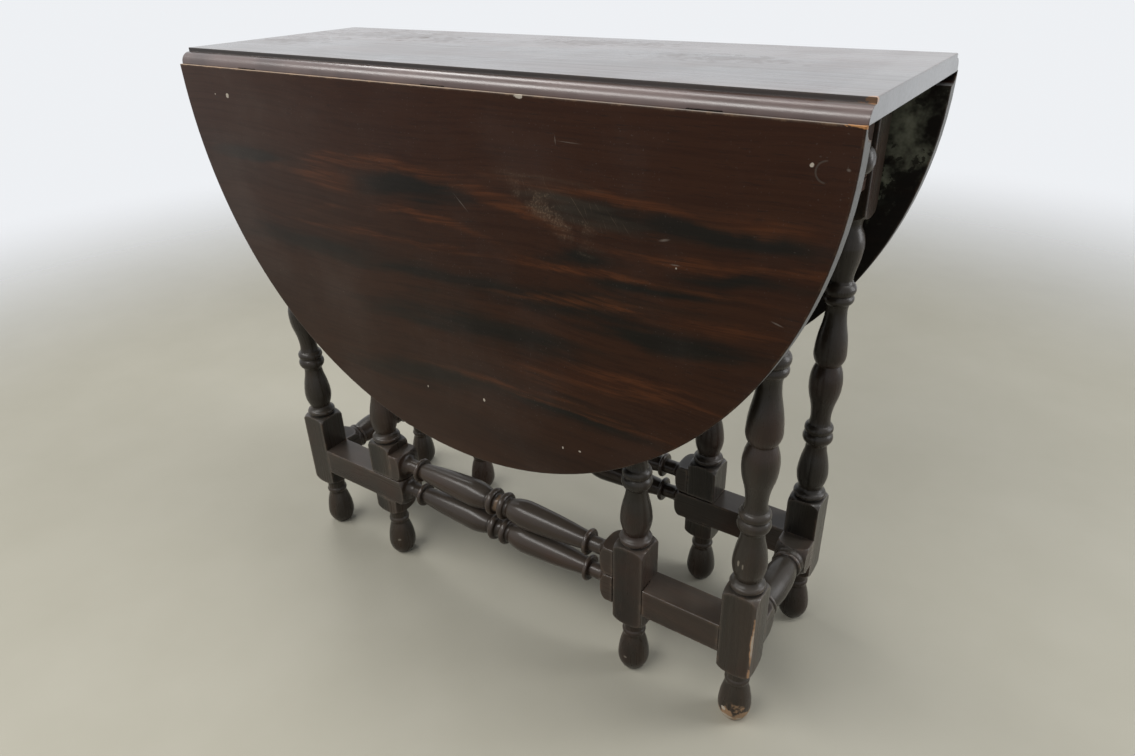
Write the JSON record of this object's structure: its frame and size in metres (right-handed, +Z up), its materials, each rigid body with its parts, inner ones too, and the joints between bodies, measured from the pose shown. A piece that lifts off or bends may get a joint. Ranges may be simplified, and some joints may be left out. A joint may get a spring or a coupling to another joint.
{
  "type": "gate-leg drop-leaf table",
  "caption": "Narrow gate-leg table with turned legs and stretchers, rounded hanging leaves on rule joints, swinging gates and an end drawer.",
  "frame": {"origin": "on the floor, under the middle of the top, with both leaves hanging and both gates closed", "axes": "+X along the top towards the drawer end, +Y across the top towards the back leaf, +Z up"},
  "size_m": [0.864, 0.315, 0.756],
  "materials": {
    "top_wood": "satin dark stain",
    "leaf_wood": "worn satin dark stain",
    "turned_wood": "satin dark stain",
    "rail_wood": "satin dark stain",
    "inner_wood": "bare wood",
    "iron": "dull dark iron"
  },
  "bodies": {
    "frame": {"table_top": "top_wood", "front_left_leg": "turned_wood", "front_right_leg": "turned_wood", "back_left_leg": "turned_wood", "back_right_leg": "turned_wood", "front_apron": "rail_wood", "back_apron": "rail_wood", "left_end_apron": "rail_wood", "drawer_top_rail": "rail_wood", "drawer_bearer": "rail_wood", "front_stretcher": "turned_wood", "back_stretcher": "turned_wood", "left_end_stretcher": "turned_wood", "right_end_stretcher": "turned_wood", "front_pivot_foot": "turned_wood", "back_pivot_foot": "turned_wood", "front_runner": "inner_wood", "back_runner": "inner_wood", "front_kicker": "inner_wood", "back_kicker": "inner_wood", "drawer_stops": "inner_wood", "top_screws": "iron", "front_top_plates": "iron", "back_top_plates": "iron", "front_hinge_pins": "iron", "back_hinge_pins": "iron", "front_top_plate_screws": "iron", "back_top_plate_screws": "iron"},
    "front_leaf": {"front_leaf": "leaf_wood", "front_leaf_plates": "iron", "front_leaf_plate_screws": "iron", "front_leaf_stop": "inner_wood"},
    "back_leaf": {"back_leaf": "leaf_wood", "back_leaf_plates": "iron", "back_leaf_plate_screws": "iron", "back_leaf_stop": "inner_wood"},
    "front_gate": {"front_pivot_post": "turned_wood", "front_swing_leg": "turned_wood", "front_gate_rail": "rail_wood", "front_gate_stretcher": "turned_wood", "front_pivot_pins": "inner_wood"},
    "back_gate": {"back_pivot_post": "turned_wood", "back_swing_leg": "turned_wood", "back_gate_rail": "rail_wood", "back_gate_stretcher": "turned_wood", "back_pivot_pins": "inner_wood"},
    "drawer": {"drawer_front": "rail_wood", "drawer_front_side": "inner_wood", "drawer_back_side": "inner_wood", "drawer_back": "inner_wood", "drawer_bottom": "inner_wood", "drawer_knob": "turned_wood", "knob_screw": "iron"}
  },
  "joints": [
    {"name": "front_leaf_lift", "type": "hinge", "parent": "frame", "child": "front_leaf", "pos_m": [0, -0.14, 0.7385], "axis": [-1, 0, 0], "range_deg": [0, 90]},
    {"name": "back_leaf_lift", "type": "hinge", "parent": "frame", "child": "back_leaf", "pos_m": [0, 0.14, 0.7385], "axis": [1, 0, 0], "range_deg": [0, 90]},
    {"name": "front_gate_swing", "type": "hinge", "parent": "frame", "child": "front_gate", "pos_m": [-0.216, -0.102, 0.159], "axis": [0, 0, -1], "range_deg": [0, 1.7]},
    {"name": "back_gate_swing", "type": "hinge", "parent": "frame", "child": "back_gate", "pos_m": [0.216, 0.102, 0.159], "axis": [0, 0, -1], "range_deg": [0, 1.7]},
    {"name": "drawer_slide", "type": "slide", "parent": "frame", "child": "drawer", "axis": [1, 0, 0], "range_m": [0, 0.2]}
  ]
}
